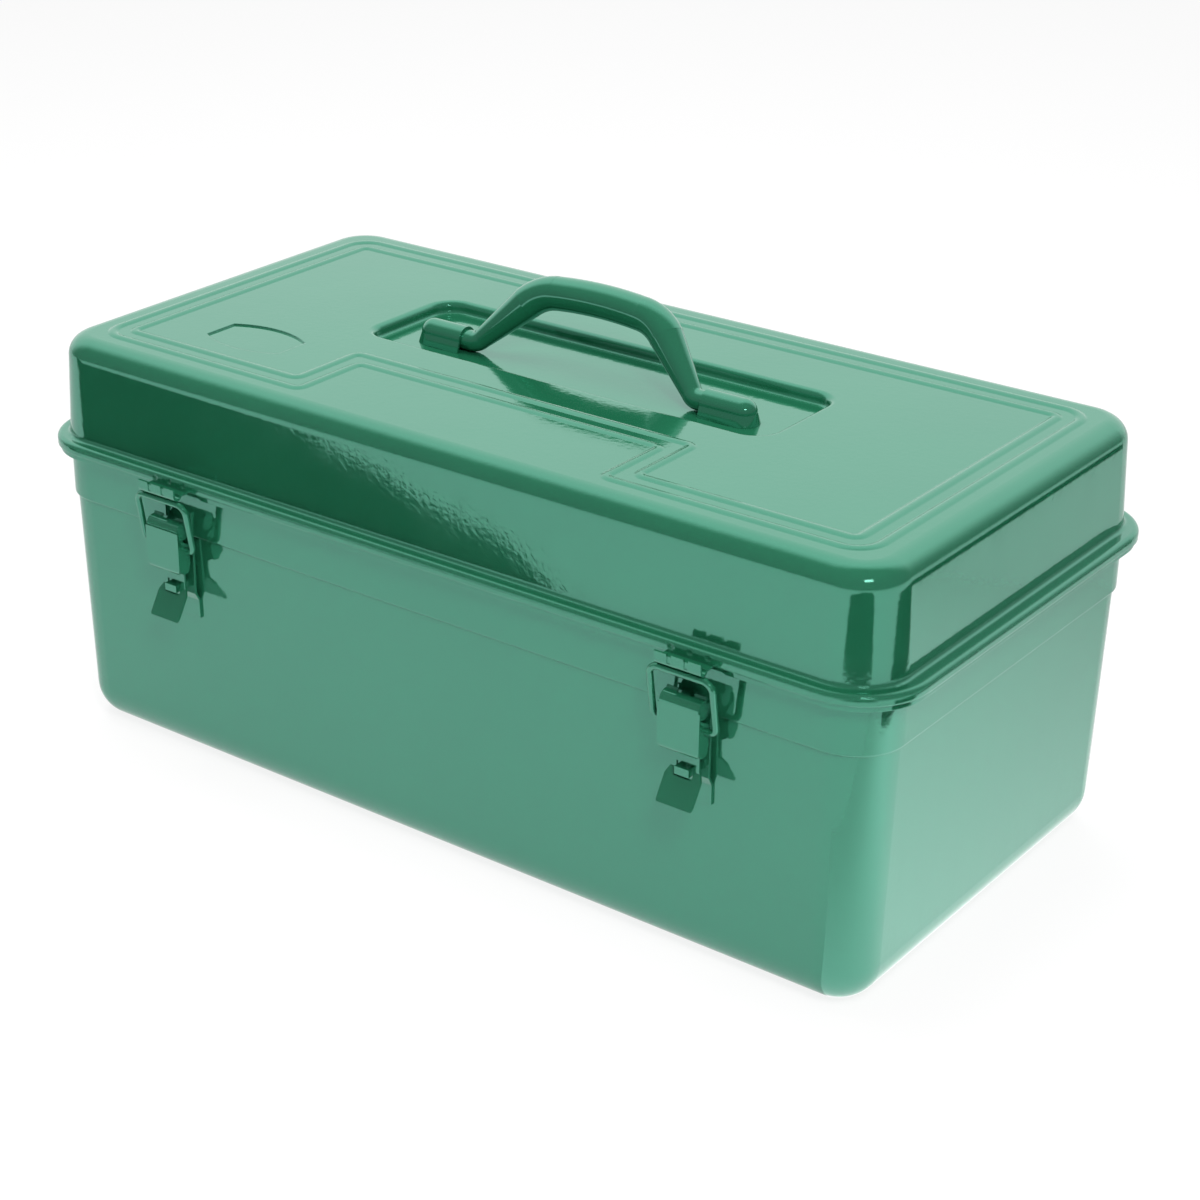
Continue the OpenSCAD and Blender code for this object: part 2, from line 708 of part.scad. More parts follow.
module latch_strike(at) {
    color("#6aab93") difference() {
        union() {
            front_side(strike_w, at) {
                translate([hook_u, hook_z]) quarter(hook_in, hook_out, 2);
                translate([hook_u, hook_z]) quarter(hook_in, hook_out, 3);
                translate([hook_u + hook_in, hook_z]) square([sheet, lip_h]);
                translate([rim_out - sheet, hook_z - sheet]) square([strike_reach + sheet / 2, sheet]);
            }
        }
        for (s = [-1, 1]) {
            front_side(2.2, at + s * 4) translate([hook_u + hook_in - 0.5, hook_z + lip_h - 0.9])
                square([3, 3]);
            front_side(1.6, at + s * 4) translate([hook_u + hook_out - 0.3, hook_z - 0.5])
                square([2, 3]);
        }
    }
}

module latch_base_left() {
    latch_base(latch_shift - latch_x);
}
module latch_base_right() {
    latch_base(latch_shift + latch_x);
}
module latch_pin_left() {
    latch_pin(latch_shift - latch_x);
}
module latch_pin_right() {
    latch_pin(latch_shift + latch_x);
}
module latch_lever_left() {
    latch_lever(latch_shift - latch_x);
}
module latch_lever_right() {
    latch_lever(latch_shift + latch_x);
}
module latch_bail_left() {
    latch_bail(latch_shift - latch_x);
}
module latch_bail_right() {
    latch_bail(latch_shift + latch_x);
}
module latch_strike_left() {
    latch_strike(latch_shift - latch_x);
}
module latch_strike_right() {
    latch_strike(latch_shift + latch_x);
}

// Hinges

module hinge_arm() {
    e = [hinge_off, hinge_z - knuckle_r + leaf_t / 2];
    b = [leaf_t / 2, arm_z];
    d = (e - b) / norm(e - b);
    n = [-d[1], d[0]] * leaf_t / 2;
    polygon([b - n, e - n, e + n, b + n]);
}

module hinge_base_leaf(at) {
    top = arm_z + 0.2;
    color("#579b82") difference() {
        union() {
            rear_side(hinge_l, at) {
                translate([leaf_gap, 0]) polygon([[low_u(base_leaf_low), base_leaf_low],
                    [low_u(base_leaf_low) + leaf_t, base_leaf_low],
                    [low_u(step_z0 - 5.4) + leaf_t, step_z0 - 5.4], [leaf_t, step_z0 - 1.2],
                    [leaf_t, top], [0, top], [0, step_z0 - 0.8], [low_u(step_z0 - 5), step_z0 - 5]]);
                hinge_arm();
                translate([hinge_off, hinge_z]) circle(knuckle_r);
            }
        }
        rear_side(2 * mid_half + knuckle_gap, at)
            translate([strap_u - 1.5, hinge_z - 12]) square([12, 24]);
        rear_side(hinge_l + 2, at) translate([hinge_off, hinge_z]) circle(hinge_r);
        at_base_rivets(at) rivet_hole();
    }
}

module hinge_lid_leaf(at) {
    color("#579b82") difference() {
        union() {
            rear_side(2 * mid_half - knuckle_gap, at) {
                translate([hinge_off, hinge_z]) circle(knuckle_r);
                translate([strap_u, hinge_z]) square([leaf_t, strap_z + leaf_t - hinge_z]);
                translate([leaf_t / 2, strap_z]) square([strap_u, leaf_t]);
            }
            rear_side(2 * lid_leaf_half, at) translate([leaf_gap, 0])
                polygon([[lid_u(strap_z), strap_z], [lid_u(strap_z) + leaf_t, strap_z],
                    [lid_u(lid_leaf_top) + leaf_t, lid_leaf_top], [lid_u(lid_leaf_top), lid_leaf_top]]);
        }
        rear_side(hinge_l + 2, at) translate([hinge_off, hinge_z]) circle(hinge_r + hinge_fit);
        at_lid_rivets(at) rivet_hole();
    }
}

module hinge_pin(at) {
    color("#8d9a95") {
        rear_side(hinge_l, at) translate([hinge_off, hinge_z]) circle(hinge_r);
        for (s = [-1, 1])
            rear_side(1, at + s * (leaf_half + 0.5)) translate([hinge_off, hinge_z]) circle(hinge_r + 0.8);
    }
}

// Where a hinge's rivets sit: y = 0 is the outside of the wall, square to its slope
module at_base_rivets(at) {
    for (d = [-1, 1])
        translate([at + d * rivet_dx, hy + low_u(base_rivet_z), base_rivet_z])
            rotate([-tub_lean, 0, 0]) children();
}
module at_lid_rivets(at) {
    for (d = [-1, 1])
        translate([at + d * rivet_dx, hy + lid_u(lid_rivet_z), lid_rivet_z])
            rotate([lid_lean, 0, 0]) children();
}

module rivet_hole() {
    translate([0, -6, 0]) rotate([-90, 0, 0]) cylinder(h = 12, r = rivet_r);
}

// A rivet through the leaf and the wall; slope is how far the wall leans
module rivet(slope) {
    face = (leaf_t + leaf_gap) * cos(slope);
    back = -sheet * cos(slope);
    translate([0, back - 0.5, 0]) rotate([-90, 0, 0]) cylinder(h = face - back + 1, r = rivet_r);
    translate([0, face, 0]) rotate([-90, 0, 0]) cylinder(h = 1.3, r1 = rivet_r + 1.6, r2 = rivet_r + 0.4);
    translate([0, back - 1, 0]) rotate([-90, 0, 0]) cylinder(h = 1, r = rivet_r + 1.2);
}

module hinge_base_rivets() {
    color("#6fa894") for (s = [-1, 1])
        at_base_rivets(s * hinge_x) rivet(tub_lean);
}

module hinge_lid_rivets() {
    color("#6fa894") for (s = [-1, 1])
        at_lid_rivets(s * hinge_x) rivet(lid_lean);
}

module hinge_base_leaf_left() {
    hinge_base_leaf(-hinge_x);
}
module hinge_base_leaf_right() {
    hinge_base_leaf(hinge_x);
}
module hinge_lid_leaf_left() {
    hinge_lid_leaf(-hinge_x);
}
module hinge_lid_leaf_right() {
    hinge_lid_leaf(hinge_x);
}
module hinge_pin_left() {
    hinge_pin(-hinge_x);
}
module hinge_pin_right() {
    hinge_pin(hinge_x);
}

// Tray

module tray_profile() {
    square_r = tray_r - tray_round;
    translate([0, tray_b]) square([square_r, tray_t]);
    translate([square_r, tray_b + tray_round]) quarter(tray_round - tray_t, tray_round, 3);
    translate([tray_r - tray_t, tray_b + tray_round])
        square([tray_t, tray_z + tray_t - tray_b - tray_round]);
    translate([tray_r - tray_t / 2, tray_z]) square([tray_edge - tray_r + tray_t / 2, tray_t]);
}

module tray_shell() {
    color("#68a58e") {
        around(cx, cy) tray_profile();
        translate([-cx, -cy, tray_b]) cube([2 * cx, 2 * cy, tray_t]);
    }
}

module tray_divider() {
    half = cx + tray_r - tray_t - 0.3;
    z0 = tray_b + tray_t;
    z1 = tray_z + tray_t;
    z2 = z1 + divider_rise;
    c = tray_round - tray_t + 0.3;
    color("#5f9d86") rotate([90, 0, 0]) linear_extrude(sheet, center = true) difference() {
        union() {
            polygon([[c - half, z0], [half - c, z0], [half, z0 + c], [half, z1 - 6],
                [divider_top + divider_rise, z1 - 6], [divider_top + 8, z2 - 8], [divider_top, z2],
                [-divider_top, z2], [-divider_top - 8, z2 - 8], [-divider_top - divider_rise, z1 - 6],
                [-half, z1 - 6], [-half, z0 + c]]);
        }
        for (s = [-1, 1])
            translate([s * slot_half, z2 - slot_r - 6]) circle(slot_r);
        translate([-slot_half, z2 - 2 * slot_r - 6]) square([2 * slot_half, 2 * slot_r]);
    }
}

base_shell();
lid_shell();
handle();
handle_saddle_left();
handle_saddle_right();
latch_base_left();
latch_base_right();
latch_pin_left();
latch_pin_right();
latch_lever_left();
latch_lever_right();
latch_bail_left();
latch_bail_right();
latch_strike_left();
latch_strike_right();
hinge_base_leaf_left();
hinge_base_leaf_right();
hinge_lid_leaf_left();
hinge_lid_leaf_right();
hinge_pin_left();
hinge_pin_right();
hinge_base_rivets();
hinge_lid_rivets();
tray_shell();
tray_divider();
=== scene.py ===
"""Looks of a deep-drawn steel toolbox in gloss green baked enamel.

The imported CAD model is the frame, and every visible form of the object is its own:
the classes here give the pieces their finishes and add no shape. The studio holds
the camera, the lamps, the floor, and the dark cards and the bright patch that the
gloss walls mirror. Lengths are in metres, or in millimetres where the name says so.
"""

import logging
import math
from dataclasses import dataclass
from enum import Enum
from typing import Any, ClassVar, Sequence

import bpy
from mathutils import Matrix, Vector


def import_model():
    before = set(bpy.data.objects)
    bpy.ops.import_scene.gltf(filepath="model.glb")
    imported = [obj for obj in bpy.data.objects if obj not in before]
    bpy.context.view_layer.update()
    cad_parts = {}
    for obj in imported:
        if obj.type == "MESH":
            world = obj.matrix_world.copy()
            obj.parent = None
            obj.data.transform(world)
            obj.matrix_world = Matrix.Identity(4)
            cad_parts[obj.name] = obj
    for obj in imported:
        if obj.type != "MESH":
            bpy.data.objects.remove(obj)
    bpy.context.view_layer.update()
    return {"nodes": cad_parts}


LOG = logging.getLogger("toolbox")
MM = 0.001
WHITE = (1.0, 1.0, 1.0, 1.0)
# Every kind of ray except the glossy one, by the names that objects use
RAYS_BESIDE_MIRRORS = ("camera", "diffuse", "transmission", "shadow", "volume_scatter")

Colour = tuple[float, float, float, float]
Point = tuple[float, float, float]


class Drawing(Enum):
    """How the sheet of a piece was formed, which decides its marks."""

    PRESSED = "pressed"
    DEEP_DRAWN = "deep drawn"


def linear(code: str) -> Colour:
    """Turn an sRGB hex colour into linear light.

    Args:
        code: Six hex digits with a leading hash.

    Returns:
        Red, green, blue and an alpha of 1.
    """
    parts = [int(code[i : i + 2], 16) / 255 for i in (1, 3, 5)]
    light = [c / 12.92 if c <= 0.04045 else ((c + 0.055) / 1.055) ** 2.4 for c in parts]
    return light[0], light[1], light[2], 1.0


def add_node(
    tree: bpy.types.NodeTree,
    kind: str,
    settings: dict[str, Any] | None = None,
    values: dict[Any, Any] | None = None,
    links: dict[Any, bpy.types.NodeSocket] | None = None,
) -> bpy.types.Node:
    """Add one node with its settings, socket values and incoming links.

    Args:
        tree: The tree that gets the node.
        kind: Blender's type name of the node, without the leading ShaderNode.
        settings: Attributes of the node.
        values: Default values by socket name or number.
        links: Sockets that feed this node, by socket name or number.

    Returns:
        The new node.
    """
    node = tree.nodes.new("ShaderNode" + kind)
    for name, value in (settings or {}).items():
        setattr(node, name, value)
    for name, value in (values or {}).items():
        node.inputs[name].default_value = value
    for name, source in (links or {}).items():
        tree.links.new(source, node.inputs[name])
    return node


def add_noise(
    tree: bpy.types.NodeTree,
    place: bpy.types.NodeSocket,
    size_mm: float,
    detail: float,
    roughness: float = 0.5,
) -> bpy.types.NodeSocket:
    """Add soft noise whose grain has a real size.

    Args:
        tree: The tree that gets the noise.
        place: Where on the piece the noise is read.
        size_mm: Width of one grain on the real object.
        detail: How many finer layers the noise has.
        roughness: How strong the finer layers are.

    Returns:
        The noise as a value from 0 to 1.
    """
    noise = add_node(
        tree,
        "TexNoise",
        values={"Scale": 1 / (size_mm * MM), "Detail": detail, "Roughness": roughness},
        links={"Vector": place},
    )
    return noise.outputs["Fac"]


def add_blend(
    tree: bpy.types.NodeTree, first: str, second: str, factor: bpy.types.NodeSocket
) -> bpy.types.NodeSocket:
    """Blend two colours.

    Args:
        tree: The tree that gets the blend.
        first: The sRGB hex colour at a factor of 0.
        second: The sRGB hex colour at a factor of 1.
        factor: The socket that blends them.

    Returns:
        The blended colour.
    """
    blend = add_node(
        tree,
        "Mix",
        {"data_type": "RGBA"},
        {"A": linear(first), "B": linear(second)},
        {"Factor": factor},
    )
    return blend.outputs["Result"]


def empty_material(name: str) -> bpy.types.Material:
    """Make a node material whose tree is still empty.

    Args:
        name: The material's name.

    Returns:
        The new material.
    """
    mat = bpy.data.materials.new(name)
    mat.use_nodes = True
    mat.node_tree.nodes.clear()
    return mat


def add_prop(
    name: str,
    corners: Sequence[Point],
    faces: Sequence[Sequence[int]],
    mat: bpy.types.Material,
) -> bpy.types.Object:
    """Put one flat-sided thing of the studio into the scene.

    Args:
        name: The name of its object and mesh.
        corners: Its corner points.
        faces: Corner numbers of each face.
        mat: Its material.

    Returns:
        The new object.
    """
    mesh = bpy.data.meshes.new(name)
    mesh.from_pydata(corners, [], faces)
    mesh.materials.append(mat)
    prop = bpy.data.objects.new(name, mesh)
    bpy.context.scene.collection.objects.link(prop)
    return prop


def add_sheet(
    name: str, low: Sequence[float], high: Sequence[float], z: float, mat: bpy.types.Material
) -> bpy.types.Object:
    """Lay one level rectangle into the scene.

    Args:
        name: The name of its object and mesh.
        low: Its corner of lowest x and y.
        high: Its corner of highest x and y.
        z: Its height.
        mat: Its material.

    Returns:
        The new object.
    """
    (x0, y0), (x1, y1) = low, high
    corners = [(x0, y0, z), (x1, y0, z), (x1, y1, z), (x0, y1, z)]
    return add_prop(name, corners, [(0, 1, 2, 3)], mat)


def show_to_mirrors_only(prop: bpy.types.Object) -> None:
    """Hide a thing from every ray but those that a glossy surface sends out.

    Args:
        prop: The thing to hide.
    """
    for ray in RAYS_BESIDE_MIRRORS:
        setattr(prop, "visible_" + ray, False)


@dataclass(frozen=True)
class Finish:
    """A node material that all pieces of one finish share."""

    name: str

    def material(self) -> bpy.types.Material:
        """Build the material once and hand it out after that.

        Returns:
            The finish as a node material.
        """
        found = bpy.data.materials.get(self.name)
        if found:
            return found
        mat = empty_material(self.name)
        self.paint(mat.node_tree)
        return mat

    def paint(self, tree: bpy.types.NodeTree) -> None:
        """Add the nodes of the finish, which each kind of finish does its own way.

        Args:
            tree: The material's empty tree.
        """
        raise NotImplementedError


@dataclass(frozen=True)
class BakedEnamel(Finish):
    """Alkyd enamel, sprayed and baked on drawn steel.

    The eye sees a deep green under a wet-looking skin: a tight mirror that breaks
    up slightly at its edges, from the orange peel of the spray, and that bends
    slowly over the panel, from the draw of the sheet.
    """

    colour: str = "#1A593E"
    shade: str = "#165038"
    mirror_tint: Colour = (0.38, 1.0, 0.80, 1.0)
    ior: float = 2.5
    roughness: float = 0.07
    cloud_mm: float = 90.0
    cloud_roughness: float = 0.55
    dust_mm: float = 14.0
    dust_range: tuple[float, float] = (0.3, 0.8)
    dulling: tuple[float, float] = (0.8, 1.5)
    peel_mm: float = 2.6
    peel_depth_mm: float = 0.030
    sag_mm: float = 46.0
    sag_depth_mm: float = 0.16
    forming: Drawing = Drawing.PRESSED
    draw_line_mm: float = 11.0
    draw_line_depth_mm: float = 0.05
    draw_line_squeeze: float = 0.12
    relief_roughness: float = 0.45
    edge_mm: float = 0.35
    edge_samples: int = 4

    def paint(self, tree: bpy.types.NodeTree) -> None:
        """Add the enamel's nodes.

        Args:
            tree: The material's empty tree.
        """
        place = add_node(tree, "TexCoord").outputs["Object"]
        # Slow clouding of the paint, about a hand's width across
        cloud = add_noise(tree, place, self.cloud_mm, 3.0, self.cloud_roughness)
        colour = add_blend(tree, self.colour, self.shade, cloud)
        # Faint dulling where dust settled in the wet paint
        dust = add_noise(tree, place, self.dust_mm, 4.0)
        dull = add_node(
            tree,
            "MapRange",
            values={
                "From Min": self.dust_range[0],
                "From Max": self.dust_range[1],
                "To Min": self.roughness * self.dulling[0],
                "To Max": self.roughness * self.dulling[1],
            },
            links={"Value": dust},
        )
        shader = add_node(
            tree,
            "BsdfPrincipled",
            values={"IOR": self.ior, "Specular Tint": self.mirror_tint},
            links={
                "Base Color": colour,
                "Roughness": dull.outputs["Result"],
                "Normal": self.relief(tree, place),
            },
        )
        add_node(tree, "OutputMaterial", links={"Surface": shader.outputs["BSDF"]})

    def relief(
        self, tree: bpy.types.NodeTree, place: bpy.types.NodeSocket
    ) -> bpy.types.NodeSocket:
        """Chain the soft edge, the sag of the sheet, the draw lines and the orange peel.

        Args:
            tree: The material's tree.
            place: Where on the piece each pattern is read.

        Returns:
            The normal of the surface with all of them.
        """
        edge = add_node(
            tree, "Bevel", {"samples": self.edge_samples}, {"Radius": self.edge_mm * MM}
        )
        normal = edge.outputs["Normal"]
        layers = [(self.sag_mm, self.sag_depth_mm, place, 1.0)]
        if self.forming is Drawing.DEEP_DRAWN:
            # Draw lines run up the walls, so they change slowly along Z
            stretch = add_node(
                tree,
                "Mapping",
                values={"Scale": (1.0, 1.0, self.draw_line_squeeze)},
                links={"Vector": place},
            )
            upright = stretch.outputs["Vector"]
            layers.append((self.draw_line_mm, self.draw_line_depth_mm, upright, 2.0))
        layers.append((self.peel_mm, self.peel_depth_mm, place, 2.0))
        for size_mm, depth_mm, where, detail in layers:
            height = add_noise(tree, where, size_mm, detail, self.relief_roughness)
            bump = add_node(
                tree,
                "Bump",
                values={"Strength": 1.0, "Distance": depth_mm * MM},
                links={"Height": height, "Normal": normal},
            )
            normal = bump.outputs["Normal"]
        return normal


@dataclass(frozen=True)
class ZincSteel(Finish):
    """Bright zinc plate on turned steel pins.

    The eye sees a pale grey metal with fine rings round the pin from the lathe
    and a slightly milky plate that softens its highlights.
    """

    name: str = "zinc_plated_steel"
    colour: str = "#B9BDBB"
    worn: str = "#9A9E9B"
    roughness: float = 0.3
    dulling: tuple[float, float] = (0.8, 1.3)
    cloud_mm: float = 5.0
    ring_mm: float = 0.35
    ring_depth_mm: float = 0.01
    ring_strength: float = 0.6
    ring_squeeze: float = 0.02

    def paint(self, tree: bpy.types.NodeTree) -> None:
        """Add the zinc's nodes.

        Args:
            tree: The material's empty tree.
        """
        place = add_node(tree, "TexCoord").outputs["Object"]
        # Turning rings run round the pin, so they change along X only
        along = add_node(
            tree,
            "Mapping",
            values={"Scale": (1.0, self.ring_squeeze, self.ring_squeeze)},
            links={"Vector": place},
        )
        rings = add_noise(tree, along.outputs["Vector"], self.ring_mm, 2.0)
        # The milky clouds of the plate, which dull it where they are darker
        cloud = add_noise(tree, place, self.cloud_mm, 3.0)
        colour = add_blend(tree, self.colour, self.worn, cloud)
        dull = add_node(
            tree,
            "MapRange",
            values={
                "To Min": self.roughness * self.dulling[0],
                "To Max": self.roughness * self.dulling[1],
            },
            links={"Value": cloud},
        )
        bump = add_node(
            tree,
            "Bump",
            values={"Strength": self.ring_strength, "Distance": self.ring_depth_mm * MM},
            links={"Height": rings},
        )
        shader = add_node(
            tree,
            "BsdfPrincipled",
            values={"Metallic": 1.0},
            links={
                "Base Color": colour,
                "Roughness": dull.outputs["Result"],
                "Normal": bump.outputs["Normal"],
            },
        )
        add_node(tree, "OutputMaterial", links={"Surface": shader.outputs["BSDF"]})


PANEL_ENAMEL = BakedEnamel(
    "gloss_enamel_on_lid_panel",
    forming=Drawing.DEEP_DRAWN,
    draw_line_depth_mm=0.03,
    edge_mm=1.1,
)
WALL_ENAMEL = BakedEnamel(
    "gloss_enamel_on_tub_wall",
    forming=Drawing.DEEP_DRAWN,
    sag_depth_mm=0.10,
)
HARDWARE_ENAMEL = BakedEnamel(
    "gloss_enamel_on_stampings",
    peel_mm=1.8,
    peel_depth_mm=0.012,
    sag_mm=12.0,
    sag_depth_mm=0.03,
    edge_mm=0.25,
)
INNER_ENAMEL = BakedEnamel("gloss_enamel_on_tray", roughness=0.12, edge_mm=0.3)
PIN_ZINC = ZincSteel()


@dataclass
class SubAssembly:
    """A group of the CAD's pieces, each with the finish that it wears."""

    nodes: dict[str, bpy.types.Object]
    finishes: ClassVar[dict[Finish, tuple[str, ...]]] = {}

    def build(self) -> None:
        """Give every piece its finish in place of its plain one, and report it."""
        for finish, names in self.finishes.items():
            for name in names:
                materials = self.nodes[name].data.materials
                materials.clear()
                materials.append(finish.material())
                LOG.info("%s: %s", name, finish.name)


class Tub(SubAssembly):
    """The drawn tub with the fixed halves of the latches and hinges."""

    finishes = {
        WALL_ENAMEL: ("base_shell",),
        HARDWARE_ENAMEL: (
            "latch_base_left",
            "latch_base_right",
            "latch_pin_left",
            "latch_pin_right",
            "hinge_base_leaf_left",
            "hinge_base_leaf_right",
            "hinge_base_rivets",
        ),
        PIN_ZINC: ("hinge_pin_left", "hinge_pin_right"),
    }


class Lid(SubAssembly):
    """The drawn lid with the strikes, the handle saddles and the hinges' lid leaves."""

    finishes = {
        PANEL_ENAMEL: ("lid_shell",),
        HARDWARE_ENAMEL: (
            "latch_strike_left",
            "latch_strike_right",
            "handle_saddle_left",
            "handle_saddle_right",
            "hinge_lid_leaf_left",
            "hinge_lid_leaf_right",
            "hinge_lid_rivets",
        ),
    }


class Moving(SubAssembly):
    """The handle, the levers and the bails."""

    finishes = {
        HARDWARE_ENAMEL: (
            "handle",
            "latch_lever_left",
            "latch_lever_right",
            "latch_bail_left",
            "latch_bail_right",
        ),
    }


class Tray(SubAssembly):
    """The lift-out tray and its divider."""

    finishes = {INNER_ENAMEL: ("tray_shell", "tray_divider")}


@dataclass(frozen=True)
class PhotoCamera:
    """The camera as it stood for the photograph, fitted to the box's edges."""

    name: str = "photo_camera"
    target_mm: Point = (-18.423, -17.723, 82.638)
    distance_mm: float = 1174.494
    azimuth: float = 37.95
    elevation: float = 25.138
    lens_mm: float = 76.885
    sensor_mm: float = 36.0
    shift: tuple[float, float] = (0.06842, 0.00476)
    clip: tuple[float, float] = (0.05, 30.0)

    def build(self) -> None:
        """Create the camera and make it the scene's."""
        a, e = math.radians(self.azimuth), math.radians(self.elevation)
        back = Vector((math.sin(a) * math.cos(e), -math.cos(a) * math.cos(e), math.sin(e)))
        right = Vector((math.cos(a), math.sin(a), 0))
        up = back.cross(right)
        data = bpy.data.cameras.new(self.name)
        data.sensor_width = self.sensor_mm
        data.lens = self.lens_mm
        data.shift_x, data.shift_y = self.shift
        data.clip_start, data.clip_end = self.clip
        camera = bpy.data.objects.new(self.name, data)
        turn = Matrix((right, up, back)).transposed().to_4x4()
        place = (Vector(self.target_mm) + back * self.distance_mm) * MM
        camera.matrix_world = Matrix.Translation(place) @ turn
        bpy.context.scene.collection.objects.link(camera)
        bpy.context.scene.camera = camera
        LOG.info("camera: %s", self.name)


@dataclass(frozen=True)
class Lamp:
    """One rectangular soft box, which the enamel mirrors only where it is told to."""

    name: str
    place: Point
    size: tuple[float, float]
    watts: float
    aim: Point = (0.0, 0.0, 0.12)
    mirrored: bool = False

    def build(self) -> None:
        """Hang the lamp and point it at its aim."""
        data = bpy.data.lights.new(self.name, "AREA")
        data.shape = "RECTANGLE"
        data.size, data.size_y = self.size
        data.energy = self.watts
        lamp = bpy.data.objects.new(self.name, data)
        lamp.location = self.place
        away = Vector(self.place) - Vector(self.aim)
        lamp.rotation_euler = away.to_track_quat("Z", "Y").to_euler()
        lamp.visible_glossy = self.mirrored
        bpy.context.scene.collection.objects.link(lamp)
        LOG.info("lamp: %s", self.name)


@dataclass(frozen=True)
class DarkReflectionCard:
    """A dark card on the studio floor that only mirror-like surfaces see.

    Its posts are points of x, y and height. The card runs along them, from the
    floor up to each post's height. It paints dark reflections into the gloss walls:
    no other ray sees it, so it casts no shadow and blocks no light.
    """

    name: str
    posts: Sequence[Point]
    colour: str = "#0A0F0D"

    def build(self) -> None:
        """Stand the card up on the floor, along its posts."""
        mat = empty_material(self.name)
        glow = add_node(
            mat.node_tree,
            "Emission",
            values={"Color": linear(self.colour), "Strength": 1.0},
        )
        add_node(mat.node_tree, "OutputMaterial", links={"Surface": glow.outputs["Emission"]})
        count = len(self.posts)
        corners = [(x, y, 0.0) for x, y, _ in self.posts] + list(self.posts)
        panes = [(i, i + 1, count + i + 1, count + i) for i in range(count - 1)]
        card = add_prop(self.name, corners, panes, mat)
        show_to_mirrors_only(card)
        LOG.info("card: %s", self.name)


@dataclass(frozen=True)
class FloorBounce:
    """A brighter patch of floor to the right that only mirror-like surfaces see.

    It stands for the lamp's own spill on the floor, as the right wall mirrors it:
    plain at both ends, and brighter by the gain near the peak.
    """

    name: str = "bounce_right"
    low: tuple[float, float] = (0.20, -0.24)
    high: tuple[float, float] = (0.47, 0.34)
    peak_y: float = -0.03
    plain: float = 1.0
    gain: float = 0.85

    def build(self) -> None:
        """Lay the patch just over the floor."""
        mat = empty_material(self.name)
        tree = mat.node_tree
        place = add_node(
            tree, "SeparateXYZ", links={0: add_node(tree, "TexCoord").outputs["Object"]}
        )
        rise = add_node(
            tree,
            "MapRange",
            {"interpolation_type": "SMOOTHSTEP"},
            {"From Min": self.low[1], "From Max": self.peak_y, "To Max": self.gain},
            {"Value": place.outputs["Y"]},
        )
        fade = add_node(
            tree,
            "MapRange",
            values={
                "From Min": self.peak_y,
                "From Max": self.high[1],
                "To Min": 1.0,
                "To Max": 0.0,
            },
            links={"Value": place.outputs["Y"]},
        )
        level = add_node(
            tree,
            "Math",
            {"operation": "MULTIPLY_ADD"},
            {2: self.plain},
            {0: rise.outputs["Result"], 1: fade.outputs["Result"]},
        )
        glow = add_node(
            tree, "Emission", values={"Color": WHITE}, links={"Strength": level.outputs[0]}
        )
        add_node(tree, "OutputMaterial", links={"Surface": glow.outputs["Emission"]})
        patch = add_sheet(self.name, self.low, self.high, 0.0, mat)
        show_to_mirrors_only(patch)
        LOG.info("floor patch: %s", self.name)


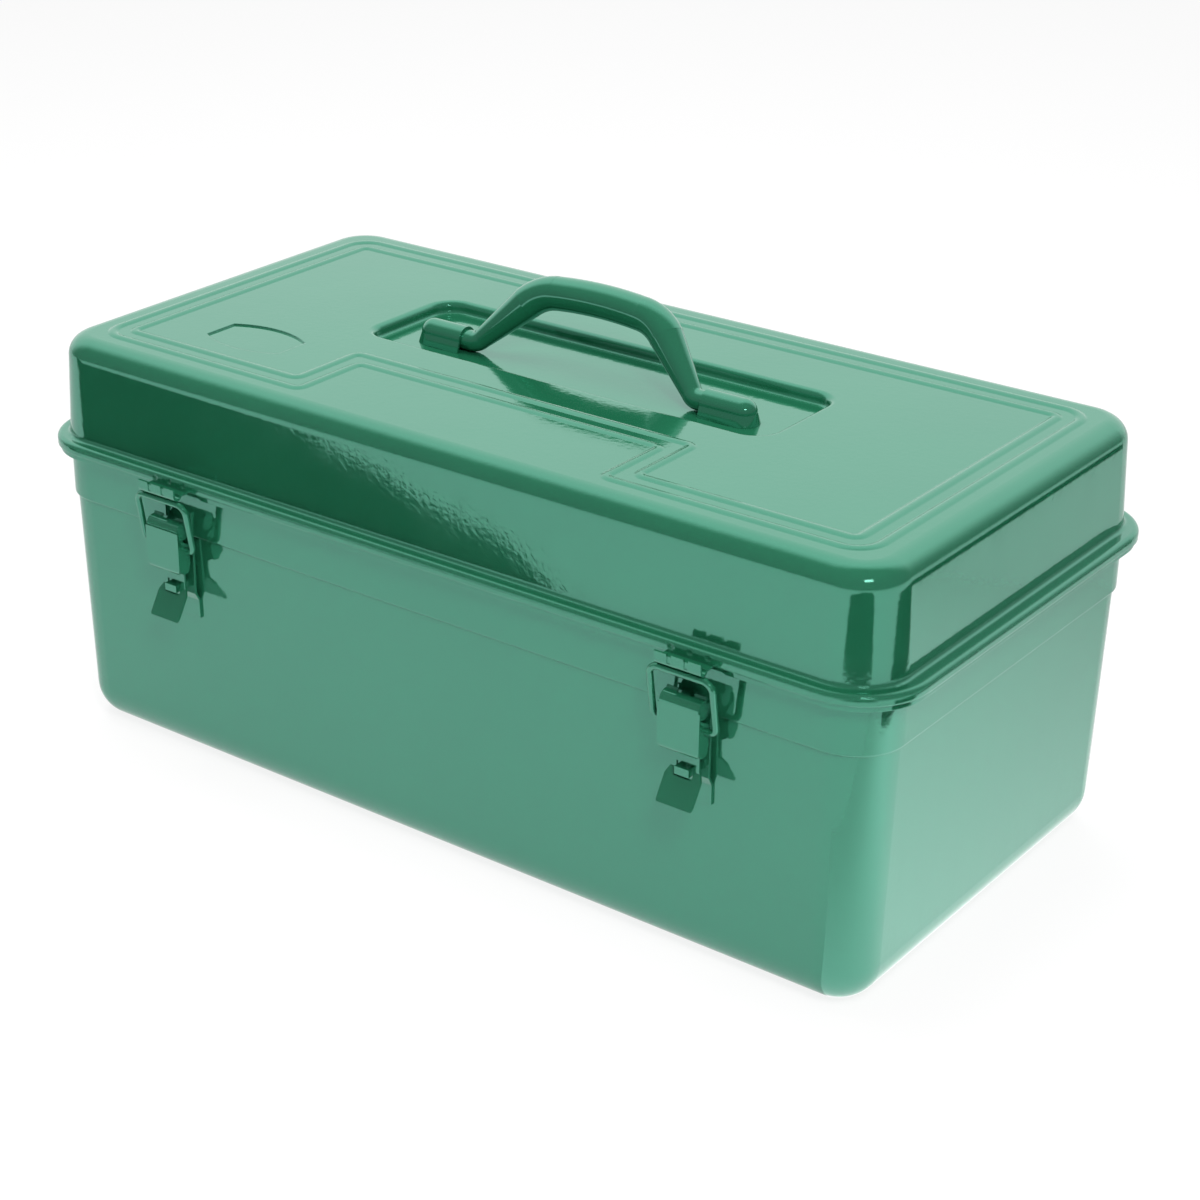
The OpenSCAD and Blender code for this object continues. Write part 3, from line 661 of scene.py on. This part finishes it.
@dataclass(frozen=True)
class Studio:
    """A white sweep with a bright backdrop behind the box and a dim room in front."""

    floor_size: float = 6.0
    floor_drop: float = 0.0003
    paper: str = "#F4F4F4"
    # Share of plain white that the camera and mirrors get in place of the lit paper
    paper_glow: float = 0.86
    # The way to the middle of the backdrop, and the cosines of the angles from it
    # at which the backdrop begins and is at its full light
    backdrop: Point = (-0.55, 0.74, 0.38)
    backdrop_edge: tuple[float, float] = (0.30, 0.72)
    backdrop_light: float = 1.3
    front_light: float = 0.22
    # What dull surfaces get from all sides, and what the camera sees
    room_light: float = 0.36
    camera_light: float = 1.0
    lamps: Sequence[Lamp] = (
        Lamp("key_soft_box", (0.95, -0.85, 1.35), (0.30, 0.55), 24),
        Lamp("top_soft_box", (-0.35, 0.15, 1.7), (1.3, 0.9), 30),
        Lamp("strip_light", (1.06, -0.89, 1.15), (0.42, 0.10), 1.6, (0.2, -0.1, 0.18), True),
    )
    # Cards that paint dark reflections into the gloss walls, seen by no other ray
    cards: Sequence[DarkReflectionCard] = (
        DarkReflectionCard(
            "card_front_left",
            (
                (-0.72, -0.39, 0.17),
                (-0.44, -0.39, 0.100),
                (-0.32, -0.39, 0.072),
                (-0.24, -0.39, 0.054),
                (-0.16, -0.39, 0.038),
                (-0.08, -0.39, 0.0),
            ),
        ),
        DarkReflectionCard("card_right", ((0.47, -0.12, 0.02), (0.47, 0.0, 0.08), (0.47, 0.6, 0.11))),
        DarkReflectionCard(
            "card_corner",
            (
                (0.24, -0.52, 0.0),
                (0.30, -0.49, 0.07),
                (0.40, -0.43, 0.12),
                (0.52, -0.34, 0.12),
                (0.56, -0.30, 0.0),
            ),
        ),
    )
    bounce: FloorBounce = FloorBounce()

    def build(self) -> None:
        """Build the floor, the world, the lamps, the cards and the bright patch."""
        self.lay_floor()
        self.paint_world()
        for prop in (*self.lamps, *self.cards, self.bounce):
            prop.build()
        bpy.context.scene.view_settings.view_transform = "Standard"

    def lay_floor(self) -> None:
        """Lay the pale floor just under the box."""
        mat = empty_material("white_studio_paper")
        tree = mat.node_tree
        paper = add_node(tree, "BsdfDiffuse", values={"Color": linear(self.paper)})
        glow = add_node(tree, "Emission", values={"Color": WHITE, "Strength": 1.0})
        share = add_node(
            tree,
            "Math",
            {"operation": "MULTIPLY"},
            {1: self.paper_glow},
            {0: self.seen_share(tree)},
        )
        mix = add_node(
            tree,
            "MixShader",
            links={0: share.outputs[0], 1: paper.outputs[0], 2: glow.outputs[0]},
        )
        add_node(tree, "OutputMaterial", links={"Surface": mix.outputs[0]})
        half = self.floor_size / 2
        floor = add_sheet("studio_floor", (-half, -half), (half, half), -self.floor_drop, mat)
        LOG.info("floor: %s", floor.name)

    def seen_share(self, tree: bpy.types.NodeTree) -> bpy.types.NodeSocket:
        """Tell the rays that look from the rays that only carry light.

        Args:
            tree: The tree that gets the nodes.

        Returns:
            1 for rays from the camera, a mirror or glass, and 0 for the rest.
        """
        path = add_node(tree, "LightPath")
        share = path.outputs["Is Camera Ray"]
        for kind in ("Is Glossy Ray", "Is Transmission Ray"):
            larger = add_node(
                tree,
                "Math",
                {"operation": "MAXIMUM"},
                links={0: share, 1: path.outputs[kind]},
            )
            share = larger.outputs[0]
        return share

    def paint_world(self) -> None:
        """Paint the room: white to the camera, bright behind the box, dim in front."""
        world = bpy.data.worlds.new("studio_room")
        bpy.context.scene.world = world
        world.use_nodes = True
        tree = world.node_tree
        tree.nodes.clear()
        facing = add_node(
            tree,
            "VectorMath",
            {"operation": "DOT_PRODUCT"},
            {1: tuple(Vector(self.backdrop).normalized())},
            {0: add_node(tree, "TexCoord").outputs["Generated"]},
        )
        bright = add_node(
            tree,
            "MapRange",
            {"interpolation_type": "SMOOTHSTEP"},
            {
                "From Min": self.backdrop_edge[0],
                "From Max": self.backdrop_edge[1],
                "To Min": self.front_light,
                "To Max": self.backdrop_light,
            },
            {"Value": facing.outputs["Value"]},
        )
        mirrored = add_node(
            tree,
            "Background",
            values={"Color": WHITE},
            links={"Strength": bright.outputs["Result"]},
        )
        plain = add_node(
            tree, "Background", values={"Color": WHITE, "Strength": self.room_light}
        )
        white = add_node(
            tree, "Background", values={"Color": WHITE, "Strength": self.camera_light}
        )
        path = add_node(tree, "LightPath")
        lit = add_node(
            tree,
            "MixShader",
            links={0: path.outputs["Is Glossy Ray"], 1: plain.outputs[0], 2: mirrored.outputs[0]},
        )
        seen = add_node(
            tree,
            "MixShader",
            links={0: path.outputs["Is Camera Ray"], 1: lit.outputs[0], 2: white.outputs[0]},
        )
        add_node(tree, "OutputWorld", links={"Surface": seen.outputs[0]})
        LOG.info("world: %s", world.name)


def main() -> None:
    """Load the frame, build the scene in order and report each part of it."""
    logging.basicConfig(level=logging.INFO, format="%(name)s %(message)s")
    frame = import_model()
    PhotoCamera().build()
    nodes = frame["nodes"]
    for part in (Tub(nodes), Lid(nodes), Moving(nodes), Tray(nodes), Studio()):
        part.build()


if __name__ == "__main__":
    main()
